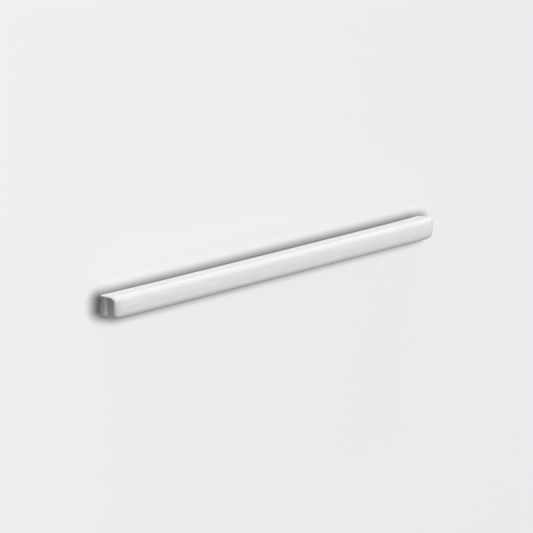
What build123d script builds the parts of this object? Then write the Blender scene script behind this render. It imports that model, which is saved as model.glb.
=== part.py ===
"""Ceramic liner trim tile: a long, slim bar pressed and fired in one piece.

It lies on its flat keyed back. X runs along the length, Y across the face towards the
edge that is uppermost on a wall, and Z out of the back towards the glazed face.
The origin is the middle of the back.
"""

import os

from build123d import *

# Overall sizes, in millimetres
LENGTH = 305.0
FACE_WIDTH = 13.3
THICKNESS = 12.0

# The glazed face and its softened arrises
FACE_CROWN = 0.7
LONG_ARRIS_RADIUS = 2.2
END_ARRIS_RADIUS = 2.0

# The unglazed back and its two lengthwise adhesive keys
BACK_ARRIS = 0.4
KEY_DEPTH = 0.8
KEY_FLOOR_WIDTH = 0.9
KEY_WALL_RUN = 0.65
OUTER_LAND = 2.3

key_mouth_width = KEY_FLOOR_WIDTH + 2 * KEY_WALL_RUN
key_pitch = FACE_WIDTH - 2 * OUTER_LAND - key_mouth_width
shoulder_height = THICKNESS - FACE_CROWN

os.makedirs("parts", exist_ok=True)

with BuildPart() as liner_tile:
    # The pressed section: flat back, upright sides and a face that crowns in one arc
    with BuildSketch(Plane.YZ.offset(-LENGTH / 2)) as section:
        with BuildLine():
            back = Line((-FACE_WIDTH / 2, 0), (FACE_WIDTH / 2, 0))
            upper_side = Line(back @ 1, (FACE_WIDTH / 2, shoulder_height))
            lower_side = Line(back @ 0, (-FACE_WIDTH / 2, shoulder_height))
            ThreePointArc(lower_side @ 1, (0, THICKNESS), upper_side @ 1)
        make_face()
        fillet(section.vertices().group_by(Axis.Y)[-1], radius=LONG_ARRIS_RADIUS)
        chamfer(section.vertices().group_by(Axis.Y)[0], length=BACK_ARRIS)
        # Key grooves, wider at the mouth so that the press tool draws out of them
        with GridLocations(key_pitch, 0, 2, 1):
            Polygon(
                (-key_mouth_width / 2, 0),
                (-KEY_FLOOR_WIDTH / 2, KEY_DEPTH),
                (KEY_FLOOR_WIDTH / 2, KEY_DEPTH),
                (key_mouth_width / 2, 0),
                align=None,
                mode=Mode.SUBTRACT,
            )
    extrude(amount=LENGTH)

    # The glaze rounds both ends over on the face and the two sides, and stops at the back
    end_faces = liner_tile.faces().filter_by(Axis.X)
    end_arrises = [
        edge
        for edge in end_faces.edges()
        if edge.center().Z > BACK_ARRIS + KEY_DEPTH
    ]
    fillet(end_arrises, radius=END_ARRIS_RADIUS)

liner_tile.part.label = "liner_tile"
export_step(liner_tile.part, "parts/liner_tile.step")
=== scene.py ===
"""Looks of a white glazed liner tile lying on its back, in metres, in the part's own frame."""

import math

import bpy
import numpy as np
from mathutils import Matrix, Vector


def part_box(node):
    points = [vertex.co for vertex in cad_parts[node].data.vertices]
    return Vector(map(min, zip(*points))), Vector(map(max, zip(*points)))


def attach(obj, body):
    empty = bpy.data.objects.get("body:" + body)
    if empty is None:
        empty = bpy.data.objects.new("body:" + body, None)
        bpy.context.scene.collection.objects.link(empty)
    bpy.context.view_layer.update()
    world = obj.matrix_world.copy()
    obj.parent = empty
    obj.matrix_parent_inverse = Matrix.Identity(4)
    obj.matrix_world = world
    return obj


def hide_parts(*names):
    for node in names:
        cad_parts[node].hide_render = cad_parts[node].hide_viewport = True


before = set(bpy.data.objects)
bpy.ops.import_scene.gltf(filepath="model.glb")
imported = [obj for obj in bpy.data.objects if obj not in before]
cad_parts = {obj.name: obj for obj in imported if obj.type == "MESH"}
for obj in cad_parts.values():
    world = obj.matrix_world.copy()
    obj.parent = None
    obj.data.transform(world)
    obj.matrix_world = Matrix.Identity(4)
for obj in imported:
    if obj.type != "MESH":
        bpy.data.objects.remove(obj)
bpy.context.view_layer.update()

# The fired bar
# A slim bar of white clay, dust-pressed in one stroke and bedded in adhesive by its keyed back.
# The face and both long sides were sprayed with white glaze before the one firing, and the glaze
# ran round the end arrises and stopped in a soft lip on the raw, die-scored ends.

MM = 0.001
tile_low, tile_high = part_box("liner_tile")
LENGTH, WIDTH, THICKNESS = ((tile_high - tile_low) / MM)[:]

# The pressed section, in mm
FACE_CROWN = 0.7
UPPER_ARRIS = 2.5
LOWER_ARRIS = 1.8
BACK_EASING = 0.35
KEY_EASING = 0.15
KEY_DEPTH = 0.8
KEY_INNER_EDGE = 2.15
KEY_OUTER_EDGE = 4.35
KEY_WALL_RUN = 0.65
OUTLINE_STEP = 0.33


def smooth_rise(value, start, stop):
    """0 below start, 1 above stop and an S-shaped cubic, 3t^2 - 2t^3, between them."""
    t = np.clip((value - start) / (stop - start), 0, 1)
    return t * t * (3 - 2 * t)


def rounded_outline(corners, radii, step):
    """Closed outline: every corner is an arc tangent to its two sides, with its centre on their
    bisector at radius / sin(half angle), and the straights between arcs are divided evenly."""
    corner = np.array(corners, float)
    radius = np.array(radii, float)
    behind = np.roll(corner, 1, axis=0) - corner
    ahead = np.roll(corner, -1, axis=0) - corner
    behind /= np.linalg.norm(behind, axis=1)[:, None]
    ahead /= np.linalg.norm(ahead, axis=1)[:, None]
    half = np.arccos(np.clip((behind * ahead).sum(axis=1), -1, 1)) / 2
    bisector = behind + ahead
    bisector /= np.linalg.norm(bisector, axis=1)[:, None]
    centre = corner + bisector * (radius / np.sin(half))[:, None]
    arc_start = corner + behind * (radius / np.tan(half))[:, None]
    arc_end = corner + ahead * (radius / np.tan(half))[:, None]
    next_start = np.roll(arc_start, -1, axis=0)
    sweep = math.pi - 2 * half
    pieces = []
    for i in range(len(corner)):
        count = max(3, math.ceil(radius[i] * sweep[i] / step))
        t = np.linspace(0, 1, count + 1)[:, None] * sweep[i]
        from_start = np.sin(sweep[i] - t) * (arc_start[i] - centre[i])
        from_end = np.sin(t) * (arc_end[i] - centre[i])
        pieces.append(centre[i] + (from_start + from_end) / math.sin(sweep[i]))
        run = next_start[i] - arc_end[i]
        count = max(1, math.ceil(np.linalg.norm(run) / step))
        pieces.append(arc_end[i] + np.linspace(0, 1, count + 1)[1:-1, None] * run)
    return np.concatenate(pieces)


def tile_section():
    """The section across the bar as (y, z) from the middle of the back, counterclockwise seen
    from the right end: back with two keys, side, face, side. The face is then lifted by
    crown * (1 - (2y / width)^2), which fades out from the shoulder down to half height."""
    side = WIDTH / 2
    shoulder = THICKNESS - FACE_CROWN
    key = [
        (KEY_INNER_EDGE, 0),
        (KEY_INNER_EDGE + KEY_WALL_RUN, KEY_DEPTH),
        (KEY_OUTER_EDGE - KEY_WALL_RUN, KEY_DEPTH),
        (KEY_OUTER_EDGE, 0),
    ]
    mirrored_key = [(-y, z) for y, z in reversed(key)]
    back = [(-side, 0), *mirrored_key, *key, (side, 0)]
    back_radii = [BACK_EASING] + [KEY_EASING] * (2 * len(key)) + [BACK_EASING]
    face = [(side, shoulder), (-side, shoulder)]
    outline = rounded_outline(back + face, back_radii + [UPPER_ARRIS, LOWER_ARRIS], OUTLINE_STEP)
    y, z = outline.T
    lift = FACE_CROWN * (1 - (y / side) ** 2) * smooth_rise(z, THICKNESS / 2, shoulder)
    return y, z + lift


# How both ends round over, in mm. The arris of each side grows from its radius by the back to its
# radius by the face, between two heights above the back. The lower one is LOWER_END_STRETCH times
# as long as it is deep.
FACE_END_ALONG = 2.9
FACE_END_DROP = 1.7
UPPER_END_BY_BACK = 1.3
UPPER_END_BY_FACE = 2.1
UPPER_END_GROWS = (6, 12)
LOWER_END_BY_BACK = 1.8
LOWER_LEFT_END_BY_FACE = 2.2
LOWER_RIGHT_END_BY_FACE = 3.5
LOWER_END_GROWS = (2, 8)
LOWER_END_STRETCH = 1.7
LEFT_TAPER = 1.0
LEFT_TAPER_REACH = 16.0

# How finely the bar is divided: a step along it in mm, and counts for an arris and an end flat
STATION_STEP = 0.9
ARRIS_STATIONS = 18
END_RINGS = 22


def quarter_round(from_end, along, drop):
    """How far an arris has drawn in at a distance from the end plane. It is a quarter of an
    ellipse, drop * (1 - sqrt(1 - (1 - distance / along)^2))."""
    short_of_tangent = np.clip(1 - from_end / along, 0, 1)
    return drop * (1 - np.sqrt(1 - short_of_tangent**2))


def bar_surface():
    """The bar as a grid of points: the section carried along the meridian that starts at the
    middle of the left end, runs out to its rim, round the arris, along the bar and in to the
    middle of the right end. Rows are stations on the meridian and columns go round the section.
    """
    y, z = tile_section()
    half_width = WIDTH / 2
    longest_arris = LOWER_END_STRETCH * LOWER_RIGHT_END_BY_FACE
    turn = np.linspace(0, math.pi / 2, ARRIS_STATIONS)
    round_the_arris = longest_arris * (1 - np.cos(turn))
    body_length = LENGTH - 2 * longest_arris
    body_count = math.ceil(body_length / STATION_STEP)
    along_the_bar = longest_arris + np.linspace(0, 1, body_count + 1)[1:-1] * body_length
    stations = [round_the_arris, along_the_bar, LENGTH - round_the_arris[::-1]]
    travel = np.concatenate(stations)[:, None]
    from_end = np.minimum(travel, LENGTH - travel)

    # How far the upper side, the lower side and the face have drawn in at each station. The lower
    # side has a slow taper at the left end too, LEFT_TAPER * (1 - distance / reach)^2.
    upper_growth = UPPER_END_BY_FACE - UPPER_END_BY_BACK
    upper_radius = UPPER_END_BY_BACK + smooth_rise(z, *UPPER_END_GROWS) * upper_growth
    drawn_in_upper = quarter_round(from_end, upper_radius, upper_radius)
    by_face = smooth_rise(z, *LOWER_END_GROWS)
    lower_by_face = np.where(travel < LENGTH / 2, LOWER_LEFT_END_BY_FACE, LOWER_RIGHT_END_BY_FACE)
    lower_radius = LOWER_END_BY_BACK + by_face * (lower_by_face - LOWER_END_BY_BACK)
    drawn_in_lower = quarter_round(from_end, LOWER_END_STRETCH * lower_radius, lower_radius)
    short_of_taper = np.clip(1 - travel / LEFT_TAPER_REACH, 0, 1)
    drawn_in_lower += LEFT_TAPER * by_face * short_of_taper**2
    drawn_in_face = quarter_round(from_end, FACE_END_ALONG, FACE_END_DROP)

    # The upper half draws in along the section's own normal, which keeps its corner crisp. The
    # draw of the lower half grows in proportion to its distance from the middle, and its drop
    # fades out from the face down to a third of the thickness. On the back only the outer lands
    # draw in, so that the keys run straight.
    rise = np.roll(z, -1) - np.roll(z, 1)
    run = np.roll(y, -1) - np.roll(y, 1)
    normal_y = rise / np.hypot(rise, run)
    normal_z = -run / np.hypot(rise, run)
    beyond_keys = np.clip((np.abs(y) - KEY_OUTER_EDGE) / (half_width - KEY_OUTER_EDGE), 0, 1)
    inward = np.where(y > 0, normal_y, np.abs(y) / half_width)
    inward = np.where(z > THICKNESS / 2, inward, beyond_keys)
    lower_half_down = smooth_rise(z, THICKNESS / 3, THICKNESS)
    downward = np.where(y > 0, np.maximum(normal_z, 0), lower_half_down)
    bar_x = np.repeat(travel - LENGTH / 2, len(y), axis=1)
    bar_y = y - inward * np.where(y > 0, drawn_in_upper, -drawn_in_lower)
    bar_z = z - downward * drawn_in_face

    # The flat of each end is its rim shrunk in even rings to one point
    middle_z = THICKNESS / 2
    share = np.linspace(0, 1, END_RINGS + 1)[:-1, None]
    left_y = share * bar_y[0]
    left_z = middle_z + share * (bar_z[0] - middle_z)
    right_y = share[::-1] * bar_y[-1]
    right_z = middle_z + share[::-1] * (bar_z[-1] - middle_z)
    end_x = np.full_like(left_y, LENGTH / 2)
    x = np.concatenate([-end_x, bar_x, end_x])
    y = np.concatenate([left_y, bar_y, right_y])
    z = np.concatenate([left_z, bar_z, right_z])
    return np.stack([x, y, z], axis=-1)


def outward_normals(points):
    """Unit normals of the closed grid: the cross product of the central differences round the
    section and along the meridian. The two end points of the meridian look along the bar."""
    round_section = np.roll(points, -1, axis=1) - np.roll(points, 1, axis=1)
    along = np.gradient(points, axis=0)
    normal = np.cross(round_section, along)
    normal[0], normal[-1] = (-1, 0, 0), (1, 0, 0)
    return normal / np.maximum(np.linalg.norm(normal, axis=-1), 1e-12)[..., None]


def unevenness(points, wavelengths, seed):
    """Slow wander of about -1 to 1: the mean of plane sine waves, one for each wavelength, that
    run in seeded directions with seeded phases, scaled to a root mean square of a half."""
    rng = np.random.default_rng(seed)
    directions = rng.normal(size=(3, len(wavelengths)))
    directions /= np.linalg.norm(directions, axis=0)
    phases = rng.uniform(0, 2 * math.pi, len(wavelengths))
    waves = np.sin(points @ (directions * 2 * math.pi / np.array(wavelengths)) + phases)
    return waves.mean(axis=-1) * math.sqrt(2 * len(wavelengths)) / 2


# Where the glaze lies, in mm
SIDE_GLAZE_STOP = 0.5
SIDE_STOP_WANDER = 0.2
SIDE_STOP_WAVES = (31, 17, 9, 5)
RAW_BACK_MARGIN = 1.1
RAW_BACK_HEIGHT = 2.0
PATCH_HALF_WIDTH = 5.8
PATCH_TOP = 6.0
PATCH_WANDER = 0.3
PATCH_WAVES = (7, 4.5, 3.1, 2.2)
END_PLANE_DEPTH = 0.4
END_PLANE_STEEPNESS = 4


def glaze_reach(points):
    """Distance in mm into the glazed area, negative on raw clay. The glaze stops just above the
    back and leaves a bare patch on each end, and both edges wander. Away from the end planes the
    patch gives way to glaze at END_PLANE_STEEPNESS times the distance."""
    x, y, z = np.moveaxis(points, -1, 0)
    side_wander = SIDE_STOP_WANDER * unevenness(points, SIDE_STOP_WAVES, seed=3)
    off_back = np.maximum(np.abs(y) - (WIDTH / 2 - RAW_BACK_MARGIN), z - RAW_BACK_HEIGHT)
    above_back = np.minimum(z - SIDE_GLAZE_STOP + side_wander, off_back)
    patch_wander = PATCH_WANDER * unevenness(points, PATCH_WAVES, seed=8)
    off_patch = np.maximum(np.abs(y) - PATCH_HALF_WIDTH, z - PATCH_TOP) + patch_wander
    from_end = LENGTH / 2 - np.abs(x)
    off_patch = np.maximum(off_patch, END_PLANE_STEEPNESS * (from_end - END_PLANE_DEPTH))
    return np.minimum(above_back, off_patch)


# Where the glaze ran thin, and where the same grey is painted on as shade on the lower side, low on
# the face and at the face's left end: shares of the full grey, lengths in mm, and how far the
# surface faces down, from 0 to 1
END_FLAT = 0.05
END_FLAT_GONE = 0.45
LONG_ARRIS_THINNING = 0.2
END_ARRIS_THINNING = 0.8
FACE_END_PAINTED_SHADE = 0.42
FACE_END_REACH = 9.0
TURNS_DOWN = (0.08, 0.7)
LIES_DOWN = (0.94, 0.995)
LOWER_SIDE_FLAT_SHADE_EASING = 0.35
LOWER_FACE_SHADE_SPAN = (2.8, 5.8)
LOWER_FACE_SHADE_AT_RIGHT = 0.7


def end_flatness(points):
    """1 on the flats of the ends, 0 from END_FLAT_GONE along the bar, an S-curve between."""
    return 1 - smooth_rise(LENGTH / 2 - np.abs(points[..., 0]), END_FLAT, END_FLAT_GONE)


def thin_glaze_and_shade(points):
    """How thin the glaze lies, with the grey that is painted on as shade, 0 to 1, as the greatest
    of six terms. It is 1 on the flats of the ends. As the surface turns down to the lower side,
    which faces away from the lamps, a painted shade rises to 1, and it is less by a set share on
    the flat of that side. It is LONG_ARRIS_THINNING * 4 ny^2 nz^2 on the long arrises and
    END_ARRIS_THINNING * 2 |nx nz| on the ends of the face, where the glaze ran thin. On the face a
    painted shade of a set share of nz^2 lies at the left end, fading along the bar. Towards the
    lower arris a painted shade rises to |nz| at the left end of the bar and to a set share of that
    at the right."""
    normal = outward_normals(points)
    nx, ny, nz = np.abs(np.moveaxis(normal, -1, 0))
    faces_down = -normal[..., 1]
    # The lower side is painted grey as shade, since it faces away from the lamps
    lower_side_painted_shade = smooth_rise(faces_down, *TURNS_DOWN)
    lower_side_painted_shade *= 1 - LOWER_SIDE_FLAT_SHADE_EASING * smooth_rise(faces_down, *LIES_DOWN)
    on_long_arris = LONG_ARRIS_THINNING * 4 * (ny * nz) ** 2
    on_end_arris = END_ARRIS_THINNING * 2 * nx * nz

    to_left = 0.5 - points[..., 0] / LENGTH
    from_end = LENGTH / 2 - np.abs(points[..., 0])
    near_end = 1 - smooth_rise(from_end, 0, FACE_END_REACH)
    # A painted shade greys the face at its left end, and low on the face, most at the left
    face_end_painted_shade = FACE_END_PAINTED_SHADE * to_left * nz**2 * near_end
    lower_face_shade_share = LOWER_FACE_SHADE_AT_RIGHT + (1 - LOWER_FACE_SHADE_AT_RIGHT) * to_left
    lower_face_painted_shade = lower_face_shade_share * nz * smooth_rise(-points[..., 1], *LOWER_FACE_SHADE_SPAN)
    flat = end_flatness(points)
    return np.max([flat, lower_side_painted_shade, on_long_arris, on_end_arris, face_end_painted_shade, lower_face_painted_shade], axis=0)


# What pressing and firing left on the surface: lengths in mm, the scores' sway in radians and its
# turn and slant in radians for each mm, how far the surface faces the back, from 0 to 1, and the
# share of the bow that centres it
GLAZE_COAT = 0.1
LIP_START = -0.6
LIP_STOP = 0.5
BEAD_HEIGHT = 0.015
BEAD_WIDTH = 0.4
RIPPLE_HEIGHT = 0.03
RIPPLE_ROOM = 0.035
RIPPLE_WAVES = (61, 43, 27, 19, 13)
SCORE_PITCH = 1.15
SCORE_DEPTH = 0.05
SCORE_SWAY = 0.9
SCORE_SWAY_TURN = 2.3
SCORE_SLANT = 0.25
GRAIN_DEPTH = 0.025
GRAIN_WAVES = (2.1, 1.6, 1.2, 0.9)
BACK_FACING = (0.25, 0.7)
FIRING_BOW = 0.3
BOW_CENTRED_BY = 0.85
LOWER_SWELL = 0.1


def finished_surface(points):
    """The bar with what pressing and firing left on it, and its distance into the glazed area.
    The glaze stands proud of the raw clay by its coat and rolls off at the lip in a faint bead,
    the glazed faces ripple, and the ends are scored along Y. In firing the upper side drew hollow
    as t^2, where t is |2x / length|, both ends turned up as t^10, and the lower side swelled."""
    normal = outward_normals(points)
    reach = glaze_reach(points)
    x, y, z = np.moveaxis(points, -1, 0)

    on_back = smooth_rise(-normal[..., 2], *BACK_FACING)
    glazed = smooth_rise(reach, LIP_START, LIP_STOP)
    raw = 1 - glazed
    bead = np.exp(-(((reach - LIP_STOP) / BEAD_WIDTH) ** 2))
    ripple = unevenness(points, RIPPLE_WAVES, seed=5)
    sway = SCORE_SWAY * np.sin(z * SCORE_SWAY_TURN) + SCORE_SLANT * y
    scores = np.sin(z * 2 * math.pi / SCORE_PITCH + sway)
    grain = unevenness(points, GRAIN_WAVES, seed=12)
    inset = raw * (GLAZE_COAT + SCORE_DEPTH * scores + GRAIN_DEPTH * grain)
    inset += glazed * (RIPPLE_ROOM - RIPPLE_HEIGHT * ripple - BEAD_HEIGHT * bead)
    points = points - normal * (np.maximum(inset, 0) * (1 - on_back))[..., None]

    t = np.abs(2 * x / LENGTH)
    up_the_face = 0.5 + y / WIDTH
    points[..., 1] += FIRING_BOW * (up_the_face * t**2 + t**10 - BOW_CENTRED_BY)
    points[..., 1] -= LOWER_SWELL * (1 - up_the_face)
    return points, reach


def closed_mesh(name, points):
    """Mesh of a grid whose columns join up and whose first and last rows are one point each:
    quads between the rows, and a fan of triangles at each end."""
    rows, columns = points.shape[:2]
    inner = points[1:-1].reshape(-1, 3)
    vertices = np.concatenate([points[0, :1], inner, points[-1, :1]])
    here = 1 + np.arange((rows - 2) * columns).reshape(rows - 2, columns)
    beside = np.roll(here, -1, axis=1)
    quads = np.stack([here[:-1], beside[:-1], beside[1:], here[1:]], axis=-1).reshape(-1, 4)
    first = np.stack([np.zeros(columns, int), beside[0], here[0]], axis=-1)
    last = np.stack([here[-1], beside[-1], np.full(columns, len(vertices) - 1)], axis=-1)
    corners = np.concatenate([first.ravel(), last.ravel(), quads.ravel()])
    sizes = np.repeat([3, 4], [2 * columns, len(quads)])
    mesh = bpy.data.meshes.new(name)
    mesh.vertices.add(len(vertices))
    mesh.vertices.foreach_set("co", (vertices * MM).ravel())
    mesh.loops.add(len(corners))
    mesh.loops.foreach_set("vertex_index", corners)
    mesh.polygons.add(len(sizes))
    mesh.polygons.foreach_set("loop_start", np.cumsum(sizes) - sizes)
    mesh.update(calc_edges=True)
    mesh.polygons.foreach_set("use_smooth", np.ones(len(sizes), bool))
    mesh.validate()
    return mesh


def on_vertices(grid):
    """The grid's values in the order of the mesh's vertices."""
    return np.concatenate([grid[0, :1], grid[1:-1].ravel(), grid[-1, :1]])


# Colours of the glaze and the clay. The grey of thin glaze is also painted on as shade, the clay's
# pale band is painted light, and the darkening of the ends is painted shade.
GLAZE_WHITE = "#EDEDED"
GLAZE_STREAK = "#F4F4F4"
THIN_GLAZE_AND_SHADE = "#BABABA"
CLAY_DARK = "#CBCBCA"
CLAY_PALE = "#E2E2E1"
CLAY_PAINTED_LIGHT = "#F4F4F3"
CLAY_GRIT = "#A9A9A8"
END_PAINTED_SHADE = "#CACACA"

# Sizes of their patterns and the places that they change over. The lip's are in mm into the
# glaze, and the grit's are shares of its spacing.
LIP_CRUMBLE = 0.8 * MM
LIP_FRAY = 0.25
LIP_EDGE_START = -0.08
LIP_EDGE_STOP = 0.12
CLOUD = 30 * MM
STREAK = (14 * MM, 1.6 * MM, 1.6 * MM)
STREAK_START = 0.3
STREAK_STOP = 0.7
MOTTLE = 4 * MM
GRIT_SPACING = 1.1 * MM
GRIT_SHARE = 0.12
GRIT_EDGE_SHARE = 0.22
ORANGE_PEEL = 5 * MM
CLAY_GRAIN = 0.5 * MM
ORANGE_PEEL_HEIGHT = 0.02
CLAY_GRAIN_HEIGHT = 0.09
PAINTED_LIGHT_START = 2.2 * MM
PAINTED_LIGHT_STOP = 4.4 * MM
END_SHADE_START = -6.0 * MM
END_SHADE_STOP = 4.0 * MM

# How rough they are, how thin the glaze is where it goes from wet to dull, and how strongly it
# mirrors
FULL_GLAZE_LEAST_ROUGH = 0.1
FULL_GLAZE_MOST_ROUGH = 0.17
THIN_GLAZE_ROUGH = 0.45
CLAY_ROUGH = 0.88
DULLS_FROM = 0.2
DULLS_TO = 0.8
GLAZE_IOR = 1.5

# The inputs of a Mix node and its colour output by number, because those for floats and those
# for colours share their names
FACTOR = 0
FLOAT_A = 2
FLOAT_B = 3
COLOUR_A = 6
COLOUR_B = 7
MIXED_COLOUR = 2


def linear(hex_code):
    """sRGB hex to linear: c / 12.92 up to 0.04045, else ((c + 0.055) / 1.055) ^ 2.4."""
    channels = [int(hex_code[i : i + 2], 16) / 255 for i in (1, 3, 5)]
    return [c / 12.92 if c <= 0.04045 else ((c + 0.055) / 1.055) ** 2.4 for c in channels] + [1]


def add(tree, kind, settings=None, links=None):
    """Adds a node, gives it its settings and links its inputs to the sockets named."""
    node = tree.nodes.new("ShaderNode" + kind)
    for key, value in (settings or {}).items():
        if isinstance(key, int) or key in node.inputs:
            node.inputs[key].default_value = value
        else:
            setattr(node, key, value)
    for key, socket in (links or {}).items():
        tree.links.new(socket, node.inputs[key])
    return node


def new_material(name):
    """An empty node material and its tree and output node."""
    material = bpy.data.materials.new(name)
    material.use_nodes = True
    tree = material.node_tree
    tree.nodes.clear()
    return material, tree, tree.nodes.new("ShaderNodeOutputMaterial")


def fired_glaze_material():
    """White zirconia glaze, sprayed and fired on a white clay body. The eye gets an even white
    under a clear wet gloss with slow ripples, a greyer and duller skin where the glaze ran thin and
    where that grey is painted on as shade, on the lower side, low on the face and at the face's
    left end, and past its lip a chalky pale body with grit in it, scored by the die. The clay is
    painted darker by the back and paler above, and each end is painted darker towards its upper
    edge, as painted light and shade."""
    material, tree, output = new_material("fired_white_glaze")
    place = add(tree, "TexCoord").outputs["Object"]
    place_parts = add(tree, "SeparateXYZ", {}, {"Vector": place}).outputs
    reach = add(tree, "Attribute", {"attribute_name": "glaze_reach"}).outputs["Fac"]
    # How thin the glaze is, with the grey painted on as shade, and the flats of the ends, which are
    # painted darker as shade
    thin = add(tree, "Attribute", {"attribute_name": "thin_glaze_and_shade"}).outputs["Fac"]
    on_end = add(tree, "Attribute", {"attribute_name": "end_painted_shade"}).outputs["Fac"]

    # The lip breaks up by up to a quarter of a millimetre, in a pattern of 0.8 mm
    crumble = add(tree, "TexNoise", {"Scale": 1 / LIP_CRUMBLE, "Detail": 2.0}, {"Vector": place})
    frayed = add(
        tree, "Math", {"operation": "MULTIPLY_ADD", 1: 2 * LIP_FRAY, 2: -LIP_FRAY},
        {0: crumble.outputs["Fac"]},
    ).outputs[0]
    edge = add(tree, "Math", {"operation": "ADD"}, {0: reach, 1: frayed}).outputs[0]
    glazed = add(
        tree, "MapRange", {"From Min": LIP_EDGE_START, "From Max": LIP_EDGE_STOP}, {"Value": edge}
    ).outputs["Result"]

    # The spray left the glaze faintly streaked along the bar, 14 mm long and 1.6 mm wide. Where it
    # is thin the body greys it, and the same grey is painted on as shade on the lower side, low on
    # the face and at the face's left end.
    streak_place = add(
        tree, "VectorMath", {"operation": "DIVIDE", 1: STREAK}, {0: place}
    ).outputs[0]
    streak = add(tree, "TexNoise", {"Scale": 1.0, "Detail": 2.0}, {"Vector": streak_place})
    streaked = add(
        tree, "MapRange", {"From Min": STREAK_START, "From Max": STREAK_STOP},
        {"Value": streak.outputs["Fac"]},
    ).outputs["Result"]
    glaze_colour = add(
        tree, "Mix",
        {"data_type": "RGBA", COLOUR_A: linear(GLAZE_WHITE), COLOUR_B: linear(GLAZE_STREAK)},
        {FACTOR: streaked},
    ).outputs[MIXED_COLOUR]
    glaze_colour = add(
        tree, "Mix", {"data_type": "RGBA", COLOUR_B: linear(THIN_GLAZE_AND_SHADE)},
        {FACTOR: thin, COLOUR_A: glaze_colour},
    ).outputs[MIXED_COLOUR]

    # The raw clay is mottled over 4 mm, with darker grit of 0.4 mm. It is painted paler above its
    # lowest 2.2 mm, to the full over 4.4 mm and palest towards the top of its patch, a painted
    # light that leaves it darker by the back as painted shade.
    mottle = add(tree, "TexNoise", {"Scale": 1 / MOTTLE, "Detail": 3.0}, {"Vector": place})
    clay_colour = add(
        tree, "Mix",
        {"data_type": "RGBA", COLOUR_A: linear(CLAY_DARK), COLOUR_B: linear(CLAY_PALE)},
        {FACTOR: mottle.outputs["Fac"]},
    ).outputs[MIXED_COLOUR]
    in_painted_light = add(
        tree, "MapRange",
        {"interpolation_type": "SMOOTHSTEP", "From Min": PAINTED_LIGHT_START, "From Max": PAINTED_LIGHT_STOP},
        {"Value": place_parts["Z"]},
    ).outputs["Result"]
    clay_colour = add(
        tree, "Mix", {"data_type": "RGBA", COLOUR_B: linear(CLAY_PAINTED_LIGHT)},
        {FACTOR: in_painted_light, COLOUR_A: clay_colour},
    ).outputs[MIXED_COLOUR]
    grit = add(tree, "TexVoronoi", {"Scale": 1 / GRIT_SPACING}, {"Vector": place})
    off_grit = add(
        tree, "MapRange", {"From Min": GRIT_SHARE, "From Max": GRIT_EDGE_SHARE},
        {"Value": grit.outputs["Distance"]},
    ).outputs["Result"]
    clay_colour = add(
        tree, "Mix", {"data_type": "RGBA", COLOUR_A: linear(CLAY_GRIT)},
        {FACTOR: off_grit, COLOUR_B: clay_colour},
    ).outputs[MIXED_COLOUR]
    colour = add(
        tree, "Mix", {"data_type": "RGBA"},
        {FACTOR: glazed, COLOUR_A: clay_colour, COLOUR_B: glaze_colour},
    ).outputs[MIXED_COLOUR]

    # Each end is painted darker towards its upper edge, a painted shade that leaves its lower edge
    # lighter
    towards_upper_edge = add(
        tree, "MapRange", {"From Min": END_SHADE_START, "From Max": END_SHADE_STOP},
        {"Value": place_parts["Y"]},
    ).outputs["Result"]
    end_shade = add(tree, "Math", {"operation": "MULTIPLY"}, {0: towards_upper_edge, 1: on_end}).outputs[0]
    colour = add(
        tree, "Mix", {"data_type": "RGBA", "blend_type": "MULTIPLY", COLOUR_B: linear(END_PAINTED_SHADE)},
        {FACTOR: end_shade, COLOUR_A: colour},
    ).outputs[MIXED_COLOUR]

    # Gloss on the glaze that clouds a little over 30 mm, a duller skin where it is thin and where
    # its grey is painted on as shade, and chalk on the clay
    cloud = add(tree, "TexNoise", {"Scale": 1 / CLOUD, "Detail": 1.0}, {"Vector": place})
    full_roughness = add(
        tree, "MapRange", {"To Min": FULL_GLAZE_LEAST_ROUGH, "To Max": FULL_GLAZE_MOST_ROUGH},
        {"Value": cloud.outputs["Fac"]},
    ).outputs["Result"]
    dulled = add(
        tree, "MapRange", {"From Min": DULLS_FROM, "From Max": DULLS_TO}, {"Value": thin}
    ).outputs["Result"]
    glaze_roughness = add(
        tree, "Mix", {"data_type": "FLOAT", FLOAT_B: THIN_GLAZE_ROUGH},
        {FACTOR: dulled, FLOAT_A: full_roughness},
    ).outputs[0]
    roughness = add(
        tree, "Mix", {"data_type": "FLOAT", FLOAT_A: CLAY_ROUGH},
        {FACTOR: glazed, FLOAT_B: glaze_roughness},
    ).outputs[0]

    # Orange peel of 5 mm on the glaze and a dry grain of 0.5 mm on the clay, with heights in mm
    heights = []
    for size, detail, height in (
        (CLAY_GRAIN, 2.0, CLAY_GRAIN_HEIGHT),
        (ORANGE_PEEL, 1.0, ORANGE_PEEL_HEIGHT),
    ):
        pattern = add(tree, "TexNoise", {"Scale": 1 / size, "Detail": detail}, {"Vector": place})
        raised = add(
            tree, "Math", {"operation": "MULTIPLY", 1: height}, {0: pattern.outputs["Fac"]}
        )
        heights.append(raised.outputs[0])
    relief = add(
        tree, "Mix", {"data_type": "FLOAT"},
        {FACTOR: glazed, FLOAT_A: heights[0], FLOAT_B: heights[1]},
    ).outputs[0]
    bump = add(tree, "Bump", {"Strength": 1.0, "Distance": MM}, {"Height": relief})

    shader = add(
        tree, "BsdfPrincipled", {"IOR": GLAZE_IOR},
        {"Base Color": colour, "Roughness": roughness, "Normal": bump.outputs["Normal"]},
    )
    tree.links.new(shader.outputs["BSDF"], output.inputs["Surface"])
    return material


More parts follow.
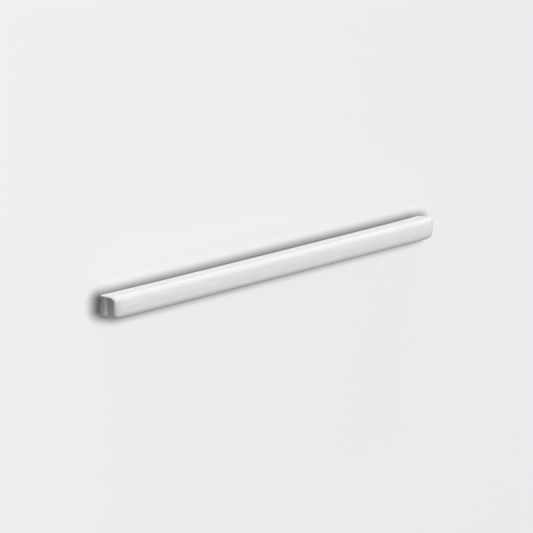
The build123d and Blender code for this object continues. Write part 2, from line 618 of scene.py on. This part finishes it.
pressed = bar_surface()
surface, reach_into_glaze = finished_surface(pressed)
tile_mesh = closed_mesh("glazed_liner", surface)
grids = {
    "glaze_reach": reach_into_glaze,
    "thin_glaze_and_shade": thin_glaze_and_shade(pressed),
    "end_painted_shade": end_flatness(pressed),
}
for grid_name, grid in grids.items():
    values = tile_mesh.attributes.new(grid_name, "FLOAT", "POINT")
    values.data.foreach_set("value", on_vertices(grid).astype(np.float32))
tile_mesh.materials.append(fired_glaze_material())
glazed_liner = bpy.data.objects.new("glazed_liner", tile_mesh)
bpy.context.scene.collection.objects.link(glazed_liner)
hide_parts("liner_tile")
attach(glazed_liner, "root")

# The floor
# A plain pale board that the tile lies on, seen everywhere behind it. It shows pale to the camera
# and in the glaze, and throws back less light, so that the bare end of the tile stays in shade.

FLOOR_HALF = 6.0
FLOOR_GAP = 0.02 * MM

# The board's tones, painted darker from left to right over twice BOARD_FADE_HALF as a painted
# shade, and the strength of its own light
BOARD_LEFT = "#BEBEBE"
BOARD_RIGHT = "#BABABA"
BOARD_SHADED = "#595959"
BOARD_THROWN_BACK = "#B4B4B4"
BOARD_FADE_HALF = 0.25
OWN_LIGHT = 0.86

# The oblong of shade round the tile, and where along the tile it tapers
SHADE_MIDDLE = (-1.0 * MM, -0.2 * MM, 0)
SHADE_TURN = 0.0015
SHADE_HALF = (151.5 * MM, 5.2 * MM, 0)
SHADE_REACH = 9.4 * MM
SHADE_STRETCH = (1.53, 1, 1)
TAPER_START = 0.455 * LENGTH * MM
TAPER_STOP = 0.515 * LENGTH * MM
TAPER_LEFT = 2.2 * MM
TAPER_RIGHT = 0.8 * MM
LEAST_OPEN_IN_GLAZE = 0.62

# The band above the tile where the board is a shade darker
GLOW_TONE = "#FAFAFA"
GLOW_START = 11.5 * MM
GLOW_MIDDLE = 15 * MM
GLOW_STOP = 28 * MM


def floor_material():
    """Matt painted board, which gives the eye an even pale ground. The rays that see it find half
    of its paleness in the lamps' light and half of its own, and the others find the greyer tone
    that it throws back. Its shade is an oblong round the tile, turned a little and tapered at the
    lower left and the upper right: the board opens up as an S-curve of the distance outside that
    oblong, which counts for less along the tile. The glaze mirrors a paler shade."""
    material, tree, output = new_material("pale_board")
    path = add(tree, "LightPath").outputs
    seen = add(
        tree, "Math", {"operation": "MAXIMUM"},
        {0: path["Is Camera Ray"], 1: path["Is Glossy Ray"]},
    ).outputs[0]
    place = add(tree, "TexCoord").outputs["Object"]
    place_parts = add(tree, "SeparateXYZ", {}, {"Vector": place}).outputs
    along, across = place_parts["X"], place_parts["Y"]

    # The taper takes its width off both sides near an end, and the slant shifts the place by as
    # much. So only the lower side at the left and the upper side at the right draw in, by twice
    # the taper, and the slant also turns the oblong a little.
    from_middle = add(tree, "Math", {"operation": "ABSOLUTE"}, {0: along}).outputs[0]
    side = add(tree, "Math", {"operation": "SIGN"}, {0: along}).outputs[0]
    near_end = add(
        tree, "MapRange",
        {"interpolation_type": "SMOOTHSTEP", "From Min": TAPER_START, "From Max": TAPER_STOP},
        {"Value": from_middle},
    ).outputs["Result"]
    full_taper = add(
        tree, "MapRange", {"From Min": -1.0, "To Min": TAPER_LEFT, "To Max": TAPER_RIGHT},
        {"Value": side},
    ).outputs["Result"]
    taper = add(tree, "Math", {"operation": "MULTIPLY"}, {0: near_end, 1: full_taper}).outputs[0]
    slant = add(tree, "Math", {"operation": "MULTIPLY"}, {0: taper, 1: side}).outputs[0]
    slant = add(
        tree, "Math", {"operation": "MULTIPLY_ADD", 1: -SHADE_TURN}, {0: along, 2: slant}
    ).outputs[0]
    slant_across = add(tree, "CombineXYZ", {}, {"Y": slant}).outputs[0]
    taper_across = add(tree, "CombineXYZ", {}, {"Y": taper}).outputs[0]

    # The distance outside the oblong:
    # length(max(|place + slant - middle| + taper - half, 0) / stretch)
    outside = place
    for operation, settings, links in (
        ("ADD", {}, {1: slant_across}),
        ("SUBTRACT", {1: SHADE_MIDDLE}, {}),
        ("ABSOLUTE", {}, {}),
        ("ADD", {}, {1: taper_across}),
        ("SUBTRACT", {1: SHADE_HALF}, {}),
        ("MAXIMUM", {1: (0, 0, 0)}, {}),
        ("DIVIDE", {1: SHADE_STRETCH}, {}),
    ):
        outside = add(
            tree, "VectorMath", {"operation": operation, **settings}, {0: outside, **links}
        ).outputs["Vector"]
    distance = add(tree, "VectorMath", {"operation": "LENGTH"}, {0: outside}).outputs["Value"]
    opened = add(
        tree, "MapRange", {"interpolation_type": "SMOOTHSTEP", "From Max": SHADE_REACH},
        {"Value": distance},
    ).outputs["Result"]
    least = add(
        tree, "Math", {"operation": "MULTIPLY", 1: LEAST_OPEN_IN_GLAZE}, {0: path["Is Glossy Ray"]}
    ).outputs[0]
    opened = add(tree, "Math", {"operation": "MAXIMUM"}, {0: opened, 1: least}).outputs[0]

    # The board is painted a little darker from left to right, a painted shade
    to_right = add(
        tree, "MapRange", {"From Min": -BOARD_FADE_HALF, "From Max": BOARD_FADE_HALF},
        {"Value": along},
    ).outputs["Result"]
    board = add(
        tree, "Mix",
        {"data_type": "RGBA", COLOUR_A: linear(BOARD_LEFT), COLOUR_B: linear(BOARD_RIGHT)},
        {FACTOR: to_right},
    ).outputs[MIXED_COLOUR]
    colour = add(
        tree, "Mix", {"data_type": "RGBA", COLOUR_A: linear(BOARD_SHADED)},
        {FACTOR: opened, COLOUR_B: board},
    ).outputs[MIXED_COLOUR]

    # The white upper side throws light on the board beside it, and a darker tone evens it out
    rising = add(
        tree, "MapRange",
        {"interpolation_type": "SMOOTHSTEP", "From Min": GLOW_START, "From Max": GLOW_MIDDLE},
        {"Value": across},
    ).outputs["Result"]
    falling = add(
        tree, "MapRange",
        {
            "interpolation_type": "SMOOTHSTEP",
            "From Min": GLOW_MIDDLE,
            "From Max": GLOW_STOP,
            "To Min": 1.0,
            "To Max": 0.0,
        },
        {"Value": across},
    ).outputs["Result"]
    off_the_ends = add(tree, "Math", {"operation": "SUBTRACT", 0: 1.0}, {1: near_end}).outputs[0]
    glow = add(tree, "Math", {"operation": "MULTIPLY"}, {0: rising, 1: falling}).outputs[0]
    glow = add(tree, "Math", {"operation": "MULTIPLY"}, {0: glow, 1: off_the_ends}).outputs[0]
    colour = add(
        tree, "Mix", {"data_type": "RGBA", "blend_type": "MULTIPLY", COLOUR_B: linear(GLOW_TONE)},
        {FACTOR: glow, COLOUR_A: colour},
    ).outputs[MIXED_COLOUR]

    lit = add(tree, "BsdfDiffuse", {}, {"Color": colour}).outputs["BSDF"]
    own = add(tree, "Emission", {"Strength": OWN_LIGHT}, {"Color": colour}).outputs["Emission"]
    shown = add(tree, "AddShader", {}, {0: lit, 1: own}).outputs["Shader"]
    thrown_back = add(tree, "BsdfDiffuse", {"Color": linear(BOARD_THROWN_BACK)}).outputs["BSDF"]
    shader = add(tree, "MixShader", {}, {0: seen, 1: thrown_back, 2: shown})
    tree.links.new(shader.outputs["Shader"], output.inputs["Surface"])
    return material


floor_mesh = bpy.data.meshes.new("floor")
floor_height = tile_low.z - FLOOR_GAP
floor_corners = [(-1, -1), (1, -1), (1, 1), (-1, 1)]
floor_mesh.from_pydata(
    [(FLOOR_HALF * a, FLOOR_HALF * b, floor_height) for a, b in floor_corners], [], [range(4)]
)
floor_mesh.materials.append(floor_material())
floor = bpy.data.objects.new("floor", floor_mesh)
bpy.context.scene.collection.objects.link(floor)

# The lamps and the camera
# The tile is seen as it would hang on a wall, so the camera is rolled until the upper long side
# is up in the picture. A large round lamp beyond the upper right lights the face, a low wide panel
# lights the upper side, and a weak fill that the glaze doesn't mirror lights the left end.

CAMERA_ROUND = math.radians(50.1)
CAMERA_RAISED = math.radians(12.3)
CAMERA_DISTANCE = 1.827
CAMERA_SENSOR = 36
CAMERA_LENS = 200.8
CAMERA_SHIFT = (-0.0199, -0.0028)
CAMERA_SEES_TO = 50
SKY_COLOUR = "#FFFFFF"
SKY_LIGHT = 0.2
SKY_SEEN = 0.4

tile_middle = (tile_low + tile_high) / 2


def soft_lamp(name, toward, distance, size, share, shape="RECTANGLE"):
    """A lamp that faces the tile from that direction. Its power gives a white surface facing it
    the wanted share of full white: share * (pi * distance)^2."""
    data = bpy.data.lights.new(name, "AREA")
    data.shape = shape
    data.size, data.size_y = size
    data.energy = share * (math.pi * distance) ** 2
    lamp = bpy.data.objects.new(name, data)
    away = Vector(toward).normalized()
    lamp.location = tile_middle + away * distance
    lamp.rotation_euler = away.to_track_quat("Z", "Y").to_euler()
    lamp.visible_camera = False
    bpy.context.scene.collection.objects.link(lamp)
    return lamp


soft_lamp(
    "high_lamp", toward=(0.42, 0.34, 1.0), distance=12, size=(8, 8), share=0.745, shape="ELLIPSE"
)
soft_lamp("low_panel", toward=(0.0, 1.0, 0.05), distance=6, size=(5.6, 0.5), share=0.58)
end_fill = soft_lamp("end_fill", toward=(-1.0, 0.0, 0.1), distance=6, size=(2, 1), share=0.1)
end_fill.visible_glossy = False

# The sky gives little light of its own and shows paler to the camera and in the glaze
world = bpy.data.worlds.new("studio")
world.use_nodes = True
sky = world.node_tree
sky.nodes.clear()
sky_path = add(sky, "LightPath").outputs
sky_seen = add(
    sky, "Math", {"operation": "MAXIMUM"},
    {0: sky_path["Is Camera Ray"], 1: sky_path["Is Glossy Ray"]},
).outputs[0]
sky_level = add(sky, "MapRange", {"To Min": SKY_LIGHT, "To Max": SKY_SEEN}, {"Value": sky_seen})
background = add(
    sky, "Background", {"Color": linear(SKY_COLOUR)}, {"Strength": sky_level.outputs["Result"]}
)
sky_output = sky.nodes.new("ShaderNodeOutputWorld")
sky.links.new(background.outputs["Background"], sky_output.inputs["Surface"])
bpy.context.scene.world = world

to_camera = Vector(
    (
        -math.cos(CAMERA_RAISED) * math.sin(CAMERA_ROUND),
        math.sin(CAMERA_RAISED),
        math.cos(CAMERA_RAISED) * math.cos(CAMERA_ROUND),
    )
)
picture_right = Vector((math.cos(CAMERA_ROUND), 0, math.sin(CAMERA_ROUND)))
picture_up = to_camera.cross(picture_right)
camera_data = bpy.data.cameras.new("camera")
camera_data.sensor_width = CAMERA_SENSOR
camera_data.lens = CAMERA_LENS
camera_data.shift_x, camera_data.shift_y = CAMERA_SHIFT
camera_data.clip_end = CAMERA_SEES_TO
camera = bpy.data.objects.new("camera", camera_data)
turn = Matrix((picture_right, picture_up, to_camera)).transposed().to_4x4()
camera.matrix_world = Matrix.Translation(tile_middle + to_camera * CAMERA_DISTANCE) @ turn
bpy.context.scene.collection.objects.link(camera)
bpy.context.scene.camera = camera

bpy.context.scene.view_settings.view_transform = "Standard"
